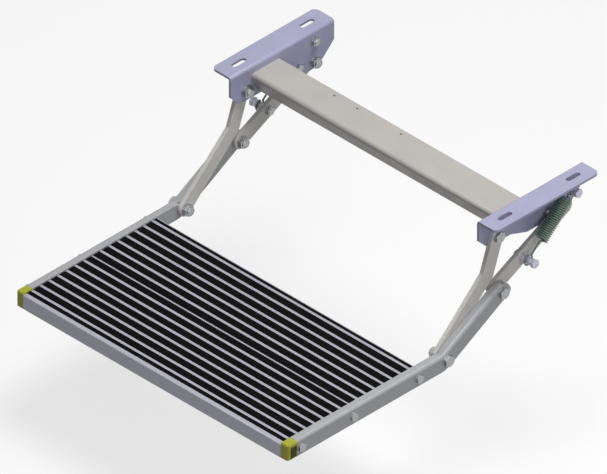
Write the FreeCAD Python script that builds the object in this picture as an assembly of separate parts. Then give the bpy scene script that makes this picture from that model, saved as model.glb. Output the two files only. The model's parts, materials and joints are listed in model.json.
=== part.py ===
# Swing-down entry step for a caravan door: two chassis brackets and a cross beam carry a four-bar
# linkage on each side, which lets a planked tread swing down and forward and stow under the floor.
# Millimetres. +X is forward, towards the user, +Y is the step's right-hand side and +Z is up. The origin
# is the centre of the four chassis slots, on the top face of the brackets.
import FreeCAD, Part
import math
import os

# Chassis brackets: folded plates whose flanges turn outwards and are slotted for the chassis
slot_spacing_x = 141.0
slot_offset = 20.5
slot_width = 9.0
slot_length = 27.0
bracket_front_x = 108.0
bracket_rear_x = -106.5
bracket_sheet = 4.0
bracket_bend = 5.5
plate_inner_y = 255.0
flange_width = 40.0
flange_corner_radius = 9.0
plate_front_drop = 36.0
plate_middle_depth = 55.5
plate_rear_depth = 68.0
plate_front_slope = 19.0
plate_rear_slope = 32.0
plate_step_front_x = 42.0
plate_step_rear_x = 8.0
plate_corner_radius = 8.0

# Pivots and anchors, as (x, z)
front_pivot = (75.6, -38.0)
rear_pivot = (-65.4, -56.0)
spring_anchor = (-65.4, -19.0)
stop_point = (-32.4, -51.0)
lower_pivot = (195.6, -193.0)
upper_pivot = (81.1, -128.6)
arm_knee = (96.6, -98.7)
spring_pin_distance = 100.6

# Cross beam: one folded sheet with a flat top and a swept front apron
beam_sheet = 3.0
beam_top_z = -13.5
beam_rear_x = 8.0
beam_flat_front_x = 59.7
beam_bend = 6.0
beam_apron_lean = 27.0
beam_apron_length = 29.0
beam_lip_lean = 54.0
beam_lip_length = 12.0
beam_hole_radius = 2.0
beam_hole_inset = 9.5
beam_hole_ys = (-131.0, -84.0, 7.0)

# Linkage bars, cut from flat bar
arm_thickness = 7.0
arm_width = 24.0
link_width = 25.0
arm_gap = 0.4
side_gap = 0.4

# Tread
tread_top_z = -183.0
tread_height = 27.0
tread_front_x = 526.4
deck_rear_x = 248.0
front_plank_depth = 143.0
side_sheet = 3.0
side_flange_width = 14.6
side_bend = 5.1
side_arm_rise = 13.0
side_arm_overhang = 15.0
side_arm_corner = 8.0
side_relief_radius = 3.0
side_bend_sweep = 45.0
cap_length = 20.0
cap_corner_radius = 4.8
cap_recess_depth = 1.2
cap_top_bevel = 2.0
cap_recess_margin = 4.0

# Deck planks: ribbed extrusions with a black grip strip in each groove
plank_wall = 2.5
plank_skin = 2.6
groove_depth = 3.2
rib_width = 4.8
rib_pitch = 17.95
narrowest_groove = 3.0
nose_radius = 1.5
nose_lip = 8.2
seam_lip = 1.4
rear_lip = 1.6
front_first_rib = 16.4
rear_first_rib = 15.6
grip_clearance = 0.1
grip_proud = 0.5
grip_ridge_height = 0.7
grip_ridge_count = 2
boss_width = 14.0
deck_bolt_cover = 0.3
front_bolt_inset = 27.3

# Fasteners
pivot_bolt_radius = 5.0
pivot_head_flats = 17.0
pivot_head_height = 7.0
pivot_nut_height = 11.0
small_bolt_radius = 4.0
small_head_flats = 13.0
small_head_height = 5.3
small_nut_height = 8.0
running_clearance = 0.06
face_clearance = 0.2
low_head_radius = 9.5
low_head_thickness = 2.2
low_head_clearance = 0.3
boss_outer_radius = 8.0
stop_peg_radius = 6.3
deck_bolt_reach = 22.0

# Springs
spring_wire = 3.0
spring_radius = 11.0
spring_plane_gap = 0.6
spring_hook_reach = 15.0
spring_long_hook_reach = 36.0
spring_turns = 9
spring_groove = 2.4
spring_sides = 10
spring_shoulder_radius = 6.2
spring_eye_clearance = 0.4

# Layers across the step, all measured from its centre plane
plate_outer_y = plate_inner_y + bracket_sheet
slot_line_y = plate_inner_y + slot_offset
flange_edge_y = plate_inner_y + flange_width
bracket_inner_bend = bracket_bend - bracket_sheet
arm_inner_y = plate_outer_y + arm_gap
arm_outer_y = arm_inner_y + arm_thickness
side_flange_inner_y = arm_outer_y + side_gap
side_outer_y = side_flange_inner_y + side_flange_width
web_inner_y = side_outer_y - side_sheet
spring_y = arm_outer_y + spring_plane_gap + spring_radius
spring_eye_radius = spring_shoulder_radius + spring_eye_clearance + spring_wire / 2
spring_head_y = spring_y + spring_radius
tread_bottom_z = tread_top_z - tread_height
deck_top_z = tread_top_z - side_sheet
plank_skin_z = deck_top_z - groove_depth - plank_skin
deck_bolt_z = plank_skin_z - deck_bolt_cover - small_bolt_radius
deck_middle_x = tread_front_x - front_plank_depth
pivot_bore = pivot_bolt_radius + running_clearance


def direction(start, end):
    # Length and unit vector from one (x, z) point to another
    dx, dz = end[0] - start[0], end[1] - start[1]
    length = math.hypot(dx, dz)
    return length, (dx / length, dz / length)


link_way = direction(rear_pivot, upper_pivot)[1]
spring_pin = (
    rear_pivot[0] + spring_pin_distance * link_way[0],
    rear_pivot[1] + spring_pin_distance * link_way[1],
)


def prism(points, y0, y1):
    # Solid between two planes across the step, from an outline of (x, z) points
    corners = [FreeCAD.Vector(x, y0, z) for x, z in points]
    face = Part.Face(Part.makePolygon(corners + corners[:1]))
    return face.extrude(FreeCAD.Vector(0, y1 - y0, 0))


def rod(centre, radius, y0, y1):
    # Round bar across the step
    base = FreeCAD.Vector(centre[0], y0, centre[1])
    return Part.makeCylinder(radius, y1 - y0, base, FreeCAD.Vector(0, 1, 0))


def hexagon(centre, flats, y0, y1):
    # Six-sided bar across the step, with its corners up and down
    reach = flats / math.sqrt(3)
    turns = [math.radians(90 + 60 * i) for i in range(6)]
    points = [(centre[0] + reach * math.cos(t), centre[1] + reach * math.sin(t)) for t in turns]
    return prism(points, y0, y1)


def mirrored(shape):
    # The same piece on the other side of the step
    return shape.mirror(FreeCAD.Vector(0, 0, 0), FreeCAD.Vector(0, 1, 0))


def both_sides(shapes):
    # One group of separate solids: the right-hand pieces and their left-hand twins
    return Part.makeCompound(list(shapes) + [mirrored(shape) for shape in shapes])


def rounded_edges(shape, radius, wanted):
    # Fillet on the edges whose end points all pass the test
    edges = [edge for edge in shape.Edges if all(wanted(vertex.Point) for vertex in edge.Vertexes)]
    return shape.makeFillet(radius, edges)


def near(value, target):
    # True for coordinates that lie on the same plane
    return abs(value - target) < 0.01


def save(name, shape):
    # One file for each named piece
    shape.exportStep("parts/" + name + ".step")


def bar_outline(points, half):
    # Outline of a flat bar along a line of (x, z) points: mitred at its bends and round at both ends
    ways = [direction(a, b)[1] for a, b in zip(points, points[1:])]

    def offset(side):
        # Points to one side of the bar's centre line
        line = [(points[0][0] - side * half * ways[0][1], points[0][1] + side * half * ways[0][0])]
        for point, before, after in zip(points[1:-1], ways, ways[1:]):
            nx, nz = -(before[1] + after[1]), before[0] + after[0]
            scale = half / (1 + before[0] * after[0] + before[1] * after[1])
            line.append((point[0] + side * scale * nx, point[1] + side * scale * nz))
        end, way = points[-1], ways[-1]
        line.append((end[0] - side * half * way[1], end[1] + side * half * way[0]))
        return [FreeCAD.Vector(x, 0, z) for x, z in line]

    left, right = offset(1), offset(-1)
    first = FreeCAD.Vector(points[0][0] - half * ways[0][0], 0, points[0][1] - half * ways[0][1])
    last = FreeCAD.Vector(points[-1][0] + half * ways[-1][0], 0, points[-1][1] + half * ways[-1][1])
    edges = [Part.LineSegment(a, b).toShape() for a, b in zip(left, left[1:])]
    edges.append(Part.Arc(left[-1], last, right[-1]).toShape())
    edges += [Part.LineSegment(b, a).toShape() for a, b in zip(right, right[1:])][::-1]
    edges.append(Part.Arc(right[0], first, left[0]).toShape())
    return Part.Face(Part.Wire(edges))


def flat_bar(points, width, holes):
    # Linkage bar in the arms' layer, bored for its pivots and pins
    face = bar_outline(points, width / 2)
    bar = face.extrude(FreeCAD.Vector(0, arm_thickness, 0))
    bar.translate(FreeCAD.Vector(0, arm_inner_y, 0))
    for centre, radius in holes:
        bar = bar.cut(rod(centre, radius, arm_inner_y - 1, arm_outer_y + 1))
    return bar


def bracket():
    # Folded plate with its slotted flange: the section along the step, then the plate's outline
    depth = plate_rear_depth + 1
    top = 0.0
    turn = math.sqrt(0.5)

    def point(y, z):
        return FreeCAD.Vector(bracket_rear_x, y, z)

    out_y, out_z = plate_inner_y + bracket_bend, top - bracket_bend
    in_y, in_z = plate_outer_y + bracket_inner_bend, top - bracket_sheet - bracket_inner_bend
    edges = [
        Part.LineSegment(point(plate_inner_y, -depth), point(plate_inner_y, out_z)),
        Part.Arc(
            point(plate_inner_y, out_z),
            point(out_y - bracket_bend * turn, out_z + bracket_bend * turn),
            point(out_y, top),
        ),
        Part.LineSegment(point(out_y, top), point(flange_edge_y, top)),
        Part.LineSegment(point(flange_edge_y, top), point(flange_edge_y, top - bracket_sheet)),
        Part.LineSegment(point(flange_edge_y, top - bracket_sheet), point(in_y, top - bracket_sheet)),
        Part.Arc(
            point(in_y, top - bracket_sheet),
            point(in_y - bracket_inner_bend * turn, in_z + bracket_inner_bend * turn),
            point(plate_outer_y, in_z),
        ),
        Part.LineSegment(point(plate_outer_y, in_z), point(plate_outer_y, -depth)),
        Part.LineSegment(point(plate_outer_y, -depth), point(plate_inner_y, -depth)),
    ]
    section = Part.Face(Part.Wire([edge.toShape() for edge in edges]))
    body = section.extrude(FreeCAD.Vector(bracket_front_x - bracket_rear_x, 0, 0))
    for end in (bracket_front_x, bracket_rear_x):
        body = rounded_edges(
            body, flange_corner_radius, lambda p: near(p.y, flange_edge_y) and near(p.x, end)
        )
    outline = prism(
        [
            (bracket_front_x + 1, 1),
            (bracket_front_x + 1, -plate_front_drop + 1),
            (bracket_front_x - plate_front_slope, -plate_middle_depth),
            (plate_step_front_x, -plate_middle_depth),
            (plate_step_rear_x, -plate_rear_depth),
            (rear_pivot[0] - plate_corner_radius, -plate_rear_depth),
            (bracket_rear_x, -plate_rear_depth + plate_rear_slope),
            (bracket_rear_x, 1),
        ],
        plate_inner_y - 1,
        flange_edge_y + 1,
    )
    outline = rounded_edges(
        outline,
        plate_corner_radius,
        lambda p: p.z < -plate_middle_depth + 0.1 and (p.x > plate_step_front_x + 1 or p.x < rear_pivot[0]),
    )
    body = body.common(outline)
    for side in (-1, 1):
        body = body.cut(slot_cutter(side * slot_spacing_x / 2))
    for centre, radius in (
        (front_pivot, pivot_bolt_radius),
        (rear_pivot, pivot_bolt_radius),
        (spring_anchor, small_bolt_radius),
    ):
        body = body.cut(rod(centre, radius, plate_inner_y - 1, plate_outer_y + 1))
    return body


def slot_cutter(x):
    # Long hole through the flange, along the step
    half = (slot_length - slot_width) / 2
    low = -bracket_sheet - 1
    height = bracket_sheet + 2
    base = FreeCAD.Vector(x - half, slot_line_y - slot_width / 2, low)
    bar = Part.makeBox(2 * half, slot_width, height, base)
    for end in (x - half, x + half):
        bar = bar.fuse(Part.makeCylinder(slot_width / 2, height, FreeCAD.Vector(end, slot_line_y, low)))
    return bar.removeSplitter()


def cross_beam():
    # Flat top, front bend, leaning apron and a swept lip, all of one thickness
    apron, lip = math.radians(beam_apron_lean), math.radians(beam_lip_lean)

    def skin(depth):
        # Line of the sheet at a depth under its outer face
        bend = beam_bend - depth
        top = beam_top_z - depth
        centre = (beam_flat_front_x, beam_top_z - beam_bend)

        def around(angle):
            return centre[0] + bend * math.cos(angle), centre[1] + bend * math.sin(angle)

        middle = around((math.pi / 2 - apron) / 2)
        end = around(-apron)
        shift = depth * math.tan((lip - apron) / 2)
        run = beam_apron_length - shift
        knee = (end[0] - run * math.sin(apron), end[1] - run * math.cos(apron))
        run = beam_lip_length - shift
        foot = (knee[0] - run * math.sin(lip), knee[1] - run * math.cos(lip))
        return [(beam_rear_x, top), (beam_flat_front_x, top), middle, end, knee, foot]

    outer = [FreeCAD.Vector(x, -plate_inner_y, z) for x, z in skin(0.0)]
    inner = [FreeCAD.Vector(x, -plate_inner_y, z) for x, z in skin(beam_sheet)]
    edges = []
    for line in (outer, inner):
        edges.append(Part.LineSegment(line[0], line[1]).toShape())
        edges.append(Part.Arc(line[1], line[2], line[3]).toShape())
        edges.append(Part.LineSegment(line[3], line[4]).toShape())
        edges.append(Part.LineSegment(line[4], line[5]).toShape())
    edges.append(Part.LineSegment(outer[0], inner[0]).toShape())
    edges.append(Part.LineSegment(outer[5], inner[5]).toShape())
    section = Part.Face(Part.Wire(Part.__sortEdges__(edges)))
    beam = section.extrude(FreeCAD.Vector(0, 2 * plate_inner_y, 0))
    for y in beam_hole_ys:
        base = FreeCAD.Vector(beam_rear_x + beam_hole_inset, y, beam_top_z - beam_sheet - 1)
        beam = beam.cut(Part.makeCylinder(beam_hole_radius, beam_sheet + 2, base))
    return beam


def angle_length(start_x, end_x, rise):
    # Straight length of the tread's side angle, along X with its top at the given height
    bottom = rise - tread_height
    base = FreeCAD.Vector(start_x, side_flange_inner_y, bottom)
    outer = Part.makeBox(end_x - start_x, side_flange_width, tread_height, base)
    hollow = Part.makeBox(
        end_x - start_x + 2,
        side_flange_width,
        tread_height,
        FreeCAD.Vector(start_x - 1, side_flange_inner_y - side_sheet, bottom - side_sheet),
    )
    outer = rounded_edges(outer, side_bend, lambda p: near(p.y, side_outer_y) and near(p.z, rise))
    return outer.cut(hollow)


def side_member():
    # Folded angle: level beside the deck, then raised behind it to carry the upper pivot
    reach, way = direction(upper_pivot, lower_pivot)
    fall = math.degrees(math.atan2(-way[1], way[0]))
    far = 2 * tread_height
    level = angle_length(lower_pivot[0] - far, tread_front_x - cap_length, tread_top_z)
    raised = angle_length(-reach - side_arm_overhang, far, side_arm_rise)
    raised = raised.cut(prism(
        [
            (-reach - side_arm_overhang - 1, side_arm_rise + 1),
            (-reach - side_arm_overhang + side_arm_corner, side_arm_rise + 1),
            (-reach - side_arm_overhang + side_arm_corner, side_arm_rise - side_sheet),
            (-reach - side_arm_overhang - 1, side_arm_rise - side_sheet - side_arm_corner - 1),
        ],
        side_flange_inner_y - 1,
        side_outer_y + 1,
    ))
    raised = rounded_edges(
        raised,
        side_arm_corner,
        lambda p: near(p.x, -reach - side_arm_overhang) and near(p.z, side_arm_rise - tread_height),
    )
    raised.rotate(FreeCAD.Vector(0, 0, 0), FreeCAD.Vector(0, 1, 0), fall)
    raised.translate(FreeCAD.Vector(lower_pivot[0], 0, lower_pivot[1]))

    # The mitre line splits the angle between the two lengths
    half = math.radians(fall) / 2
    drop = tread_top_z - lower_pivot[1]
    corner_x = lower_pivot[0] + (side_arm_rise - drop * math.cos(2 * half)) / math.sin(2 * half)
    corner = (corner_x, tread_top_z)
    lean = (-math.sin(half), -math.cos(half))
    low = (corner[0] + far * lean[0], corner[1] + far * lean[1])
    high = (corner[0] - far * lean[0], corner[1] - far * lean[1])
    front = [high, low, (tread_front_x, low[1]), (tread_front_x, high[1])]
    rear = [high, low, (low[0] - 4 * far, low[1]), (low[0] - 4 * far, high[1] + 2 * far)]
    level = level.common(prism(front, side_flange_inner_y - 1, side_outer_y + 1))
    raised = raised.common(prism(rear, side_flange_inner_y - 1, side_outer_y + 1))
    member = level.fuse(raised).removeSplitter()
    member = rounded_edges(member, side_bend_sweep, lambda p: is_lower_bend(p, corner, lean))
    relief = Part.makeCylinder(
        side_relief_radius,
        tread_height,
        FreeCAD.Vector(corner[0], side_flange_inner_y, tread_top_z - tread_height / 2),
    )
    member = member.cut(relief)
    for centre in (lower_pivot, upper_pivot):
        member = member.fuse(rod(centre, boss_outer_radius, side_flange_inner_y, web_inner_y))
        member = member.cut(rod(centre, pivot_bolt_radius, side_flange_inner_y - 1, side_outer_y + 1))
    for x in deck_bolt_xs():
        member = member.cut(rod((x, deck_bolt_z), small_bolt_radius, web_inner_y - 1, side_outer_y + 1))
    return member


def is_lower_bend(point, corner, lean):
    # True on the side member's lower edge where its two lengths meet
    off = (point.x - corner[0]) * lean[1] - (point.z - corner[1]) * lean[0]
    return abs(off) < 0.01 and point.z < lower_pivot[1] - side_arm_rise


def deck_bolt_xs():
    # Bolt places along the deck: near the nose, in front of the seam and at the rear wall
    return (
        tread_front_x - front_bolt_inset,
        deck_middle_x + boss_width / 2,
        deck_rear_x + boss_width / 2,
    )


def front_grooves():
    # Grooves of the leading plank
    return grooves(tread_front_x, deck_middle_x, nose_lip, front_first_rib, seam_lip)


def rear_grooves():
    # Grooves of the trailing plank
    return grooves(deck_middle_x, deck_rear_x, seam_lip, rear_first_rib, rear_lip)


def grooves(front_x, rear_x, front_lip, first_rib, back_lip):
    # (rear edge, front edge) of each groove: what is left between the plank's two lips and its ribs
    room = front_x - rear_x - first_rib - rib_width - narrowest_groove - back_lip
    rib_count = int(room / rib_pitch) + 1
    ribs = [front_x - first_rib - i * rib_pitch for i in range(rib_count)]
    fronts = [front_x - front_lip] + [rib - rib_width for rib in ribs]
    return list(zip(ribs + [rear_x + back_lip], fronts))


def plank(front_x, rear_x, nose, cuts, boss_xs):
    # Ribbed extrusion: grooved skin, end walls, two inner webs, and a bored boss for each bolt
    half = web_inner_y
    length = front_x - rear_x
    body = Part.makeBox(
        length, 2 * half, deck_top_z - tread_bottom_z, FreeCAD.Vector(rear_x, -half, tread_bottom_z)
    )
    if nose:
        body = rounded_edges(body, nose_radius, lambda p: near(p.x, front_x) and near(p.z, deck_top_z))
    inner = length - 4 * plank_wall
    for i in range(3):
        x = rear_x + plank_wall + i * (inner / 3 + plank_wall)
        base = FreeCAD.Vector(x, -half - 1, tread_bottom_z - 1)
        body = body.cut(Part.makeBox(inner / 3, 2 * half + 2, plank_skin_z - tread_bottom_z + 1, base))
    for x in boss_xs:
        low = deck_bolt_z - boss_width / 2
        body = body.fuse(Part.makeBox(
            boss_width, 2 * half, plank_skin_z - low, FreeCAD.Vector(x - boss_width / 2, -half, low)
        ))
        for end in (-half, half - deck_bolt_reach):
            body = body.cut(rod((x, deck_bolt_z), small_bolt_radius, end, end + deck_bolt_reach))
    for rear, front in cuts:
        body = body.cut(Part.makeBox(
            front - rear,
            2 * half + 2,
            groove_depth + 1,
            FreeCAD.Vector(rear, -half - 1, deck_top_z - groove_depth),
        ))
    return body.removeSplitter()


def front_plank():
    # Leading plank, with its nose and a corner cropped at each end for the end caps
    body = plank(tread_front_x, deck_middle_x, True, front_grooves(), deck_bolt_xs()[:2])
    for y in (-web_inner_y - 1, side_flange_inner_y):
        body = body.cut(Part.makeBox(
            cap_length + 1,
            web_inner_y - side_flange_inner_y + 1,
            tread_height + 2,
            FreeCAD.Vector(tread_front_x - cap_length, y, tread_bottom_z - 1),
        ))
    return body


def rear_plank():
    # Trailing plank
    return plank(deck_middle_x, deck_rear_x, False, rear_grooves(), deck_bolt_xs()[2:])


def grip_strip(groove):
    # Black strip that fills one groove, with ridges along its top
    rear, front = groove[0] + grip_clearance, groove[1] - grip_clearance
    floor = deck_top_z - groove_depth
    top = deck_top_z + grip_proud
    points = [(rear, floor), (front, floor), (front, top - grip_ridge_height)]
    step = (front - rear) / grip_ridge_count
    for i in range(grip_ridge_count):
        edge = front - i * step
        points += [(edge - step * 0.3, top), (edge - step * 0.7, top)]
        points.append((edge - step, top - grip_ridge_height))
    return prism(points, -side_flange_inner_y, side_flange_inner_y)


def grip_strips():
    # The front plank's strips and the rear plank's, all stopping at the side members' flanges
    return Part.makeCompound([grip_strip(groove) for groove in front_grooves() + rear_grooves()])


def end_cap():
    # Moulded block that closes the front end of a side member, with a panelled outer face
    body = Part.makeBox(
        cap_length,
        side_flange_width,
        tread_height,
        FreeCAD.Vector(tread_front_x - cap_length, side_flange_inner_y, tread_bottom_z),
    )
    body = rounded_edges(
        body, cap_corner_radius, lambda p: near(p.y, side_outer_y) and near(p.x, tread_front_x)
    )
    round_x = tread_front_x - cap_corner_radius
    top = [
        edge
        for edge in body.Edges
        if edge.BoundBox.ZMin > tread_top_z - 0.1
        and (edge.BoundBox.YMin > side_outer_y - 0.1 or edge.BoundBox.XMin > round_x - 0.1)
    ]
    body = body.makeChamfer(cap_top_bevel, top)
    panel_x = cap_length - cap_corner_radius - 2 * cap_recess_margin
    panel_z = tread_height - side_bend - 2 * cap_recess_margin
    low = FreeCAD.Vector(
        tread_front_x - cap_length + cap_recess_margin,
        side_outer_y - cap_recess_depth,
        tread_bottom_z + cap_recess_margin,
    )
    return body.cut(Part.makeBox(panel_x, cap_recess_depth + 1, panel_z, low))


def hex_bolt(centre, radius, flats, head, seat_y, tip_y):
    # Bolt across the step: its head stands outwards from the seat when the tip lies inwards of it
    out = 1 if seat_y > tip_y else -1
    ends = sorted((seat_y, seat_y + out * head))
    shank = sorted((seat_y, tip_y))
    return hexagon(centre, flats, *ends).fuse(rod(centre, radius, *shank)).removeSplitter()


def closed_nut(centre, flats, height, seat_y):
    # Closed hexagon nut on an inner face, facing the centre plane
    return hexagon(centre, flats, seat_y - height, seat_y)


def pivot_nut(centre, seat_y):
    # Nut of one of the four pivots
    return closed_nut(centre, pivot_head_flats, pivot_nut_height, seat_y)


def small_nut(centre, seat_y):
    # Nut of a spring pin
    return closed_nut(centre, small_head_flats, small_nut_height, seat_y)


def shoulder_pin(centre, shoulder_y, tip_y):
    # Spring pin: a hexagon head, a wide shoulder for the spring's eye and a thinner threaded end
    ends = (spring_head_y, spring_head_y + small_head_height)
    pin = hexagon(centre, small_head_flats, *ends)
    pin = pin.fuse(rod(centre, spring_shoulder_radius, shoulder_y, spring_head_y))
    return pin.fuse(rod(centre, small_bolt_radius, tip_y, shoulder_y)).removeSplitter()


def low_head_pin(centre, tip_y):
    # Pivot pin whose thin head is sunk in the link, so that the spring can swing past it
    top = arm_outer_y - face_clearance
    head = rod(centre, low_head_radius, top - low_head_thickness, top)
    return head.fuse(rod(centre, pivot_bolt_radius, tip_y, top)).removeSplitter()


def frame_fasteners():
    # Pivots, spring pins and stops that stay with the brackets
    seat = arm_outer_y + face_clearance
    save("front_pivot_bolts", both_sides([
        hex_bolt(front_pivot, pivot_bolt_radius, pivot_head_flats, pivot_head_height, seat, plate_inner_y)
    ]))
    save("front_pivot_nuts", both_sides([pivot_nut(front_pivot, plate_inner_y)]))
    save("rear_pivot_pins", both_sides([low_head_pin(rear_pivot, plate_inner_y)]))
    save("rear_pivot_nuts", both_sides([pivot_nut(rear_pivot, plate_inner_y)]))
    save("spring_anchor_pins", both_sides([shoulder_pin(spring_anchor, plate_outer_y, plate_inner_y)]))
    save("spring_anchor_nuts", both_sides([small_nut(spring_anchor, plate_inner_y)]))
    save("stop_pegs", both_sides([
        rod(stop_point, stop_peg_radius, plate_outer_y, arm_outer_y - face_clearance)
    ]))


def front_arms():
    # Cranked bars from the brackets' front pivots to the tread's lower pivots
    holes = [(front_pivot, pivot_bore), (lower_pivot, pivot_bore)]
    arm = flat_bar([front_pivot, arm_knee, lower_pivot], arm_width, holes)
    save("right_front_arm", arm)
    save("left_front_arm", mirrored(arm))


def rear_links():
    # Straight bars from the rear pivots to the tread's upper pivots, each with its spring pin
    sink = low_head_thickness + face_clearance + low_head_clearance
    holes = [
        (rear_pivot, pivot_bore),
        (upper_pivot, pivot_bore),
        (spring_pin, small_bolt_radius),
    ]
    link = flat_bar([rear_pivot, upper_pivot], link_width, holes)
    recess = low_head_radius + low_head_clearance
    link = link.cut(rod(rear_pivot, recess, arm_outer_y - sink, arm_outer_y + 1))
    save("right_rear_link", link)
    save("left_rear_link", mirrored(link))
    save("spring_pins", both_sides([shoulder_pin(spring_pin, arm_outer_y, arm_inner_y)]))
    save("spring_pin_nuts", both_sides([small_nut(spring_pin, arm_inner_y)]))
    # The upper pivot is open between the link and the tread: its threaded end stays with the link
    end = rod(upper_pivot, pivot_bolt_radius, arm_inner_y, arm_outer_y - face_clearance)
    save("upper_pivot_ends", both_sides([end]))
    save("upper_pivot_nuts", both_sides([pivot_nut(upper_pivot, arm_inner_y)]))


def tread_fasteners():
    # Bolts that hold the deck, and the tread's halves of the two side pivots
    size = (pivot_bolt_radius, pivot_head_flats, pivot_head_height)
    nut_seat = arm_inner_y - face_clearance
    save("lower_pivot_bolts", both_sides([hex_bolt(lower_pivot, *size, side_outer_y, nut_seat)]))
    save("lower_pivot_nuts", both_sides([pivot_nut(lower_pivot, nut_seat)]))
    save("upper_pivot_bolts", both_sides([hex_bolt(upper_pivot, *size, side_outer_y, side_flange_inner_y)]))
    size = (small_bolt_radius, small_head_flats, small_head_height)
    tip_y = web_inner_y - deck_bolt_reach
    save("deck_bolts", both_sides([
        hex_bolt((x, deck_bolt_z), *size, side_outer_y, tip_y) for x in deck_bolt_xs()
    ]))


def ring_points(radius):
    # Corners of a many-sided ring around an axis
    turns = [2 * math.pi * i / spring_sides for i in range(spring_sides)]
    return [(radius * math.cos(t), radius * math.sin(t)) for t in turns]


def ridged_stack(stack):
    # Many-sided solid along Z from rings of (radius, height), with flat faces between them
    rings = [[FreeCAD.Vector(x, y, height) for x, y in ring_points(radius)] for radius, height in stack]
    faces = [Part.Face(Part.makePolygon(ring + ring[:1])) for ring in (rings[0], rings[-1])]
    for low, high in zip(rings, rings[1:]):
        for i in range(spring_sides):
            after = (i + 1) % spring_sides
            corners = [low[i], low[after], high[after], high[i], low[i]]
            faces.append(Part.Face(Part.makePolygon(corners)))
    return Part.makeSolid(Part.makeShell(faces))


def spring_eye(height):
    # Many-sided ring of a spring's hook, with its axis across the step
    half = spring_wire / 2
    outer = [(x, z + height) for x, z in ring_points(spring_eye_radius + half)]
    inner = [(x, z + height) for x, z in ring_points(spring_eye_radius - half)]
    return prism(outer, -half, half).cut(prism(inner, -half - 1, half + 1))


def spring():
    # Tension spring with a hook eye at each end, as one solid with a ridge for each two turns
    length, way = direction(spring_anchor, spring_pin)
    start, end = spring_hook_reach, length - spring_long_hook_reach
    pitch = (end - start) / spring_turns
    stack = [(spring_radius - spring_groove, start)]
    for i in range(spring_turns):
        stack.append((spring_radius, start + (i + 0.5) * pitch))
        stack.append((spring_radius - spring_groove, start + (i + 1) * pitch))
    body = ridged_stack(stack)
    half = spring_wire / 2
    bite = spring_eye_radius - half
    for eye_height, low, high in ((0, bite, start), (length, end, length - bite)):
        body = body.fuse(spring_eye(eye_height))
        neck = Part.makeBox(spring_wire, spring_wire, high - low, FreeCAD.Vector(-half, -half, low))
        body = body.fuse(neck)
    body.rotate(FreeCAD.Vector(0, 0, 0), FreeCAD.Vector(0, 1, 0), math.degrees(math.atan2(way[0], way[1])))
    body.translate(FreeCAD.Vector(spring_anchor[0], spring_y, spring_anchor[1]))
    return body


def main():
    # Builds and saves every piece; the left-hand ones mirror the right-hand ones
    os.makedirs("parts", exist_ok=True)
    right_bracket = bracket()
    save("right_bracket", right_bracket)
    save("left_bracket", mirrored(right_bracket))
    save("cross_beam", cross_beam())
    frame_fasteners()
    front_arms()
    rear_links()
    right_side = side_member()
    save("right_side_member", right_side)
    save("left_side_member", mirrored(right_side))
    save("front_plank", front_plank())
    save("rear_plank", rear_plank())
    save("grip_strips", grip_strips())
    cap = end_cap()
    save("right_end_cap", cap)
    save("left_end_cap", mirrored(cap))
    tread_fasteners()
    right_spring = spring()
    save("right_spring", right_spring)
    save("left_spring", mirrored(right_spring))


main()
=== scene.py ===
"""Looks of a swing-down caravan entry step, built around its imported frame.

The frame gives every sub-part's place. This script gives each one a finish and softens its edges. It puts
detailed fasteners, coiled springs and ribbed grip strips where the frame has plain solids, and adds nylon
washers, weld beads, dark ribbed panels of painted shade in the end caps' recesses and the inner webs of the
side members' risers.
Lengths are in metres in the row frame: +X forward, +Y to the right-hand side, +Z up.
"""

import json
import logging
import math
from dataclasses import dataclass, field
from enum import Enum
from typing import Callable, ClassVar

import bmesh
import bpy
from mathutils import Matrix, Vector


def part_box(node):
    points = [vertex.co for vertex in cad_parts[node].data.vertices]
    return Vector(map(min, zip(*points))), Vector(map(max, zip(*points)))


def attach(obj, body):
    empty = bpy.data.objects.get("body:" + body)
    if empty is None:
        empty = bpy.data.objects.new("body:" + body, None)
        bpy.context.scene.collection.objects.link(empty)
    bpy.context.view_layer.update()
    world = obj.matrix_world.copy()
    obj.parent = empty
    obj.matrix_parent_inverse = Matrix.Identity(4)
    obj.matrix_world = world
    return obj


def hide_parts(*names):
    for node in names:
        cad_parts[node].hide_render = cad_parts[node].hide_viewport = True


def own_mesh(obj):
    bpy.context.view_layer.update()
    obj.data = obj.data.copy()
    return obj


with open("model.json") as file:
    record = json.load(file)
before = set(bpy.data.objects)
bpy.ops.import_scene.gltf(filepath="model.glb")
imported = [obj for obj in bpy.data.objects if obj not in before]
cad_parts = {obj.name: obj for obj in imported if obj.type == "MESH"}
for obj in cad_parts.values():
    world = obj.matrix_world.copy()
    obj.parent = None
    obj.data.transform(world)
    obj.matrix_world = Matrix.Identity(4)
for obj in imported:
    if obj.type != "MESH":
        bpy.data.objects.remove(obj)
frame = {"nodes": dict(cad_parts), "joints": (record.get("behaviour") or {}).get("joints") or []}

LOG = logging.getLogger("entry_step")
MM = 0.001
WHITE = (1.0, 1.0, 1.0, 1.0)

# Between a bracket's plate and the bars that turn on it
BAR_GAP = 0.4 * MM

# Decimals of a metre that tell one corner of a mesh from another
CORNER_DIGITS = 6

# Flat circle on a bolt's head, as a share of the width across its flats
HEAD_CHAMFER = 0.46

Point = tuple[float, float, float]
Outline = list[tuple[float, float]]
Pairs = tuple[tuple[float, float], ...]
Ring = list[Vector]
Polar = Callable[[float], float]
Place = Callable[[float, float, float], Vector]
Tree = bpy.types.NodeTree
Socket = bpy.types.NodeSocket


def math_node(tree: Tree, operation: str, *values: Socket | float) -> Socket:
    """Adds a maths node, clamped to no range.

    Args:
        tree: The nodes that it joins.
        operation: What it works out.
        values: Sockets to link, or numbers to set, in order.

    Returns:
        The node's result.
    """
    node = tree.nodes.new("ShaderNodeMath")
    node.operation = operation
    for socket, value in zip(node.inputs, values):
        if isinstance(value, Socket):
            tree.links.new(value, socket)
        else:
            socket.default_value = value
    return node.outputs["Value"]


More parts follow.
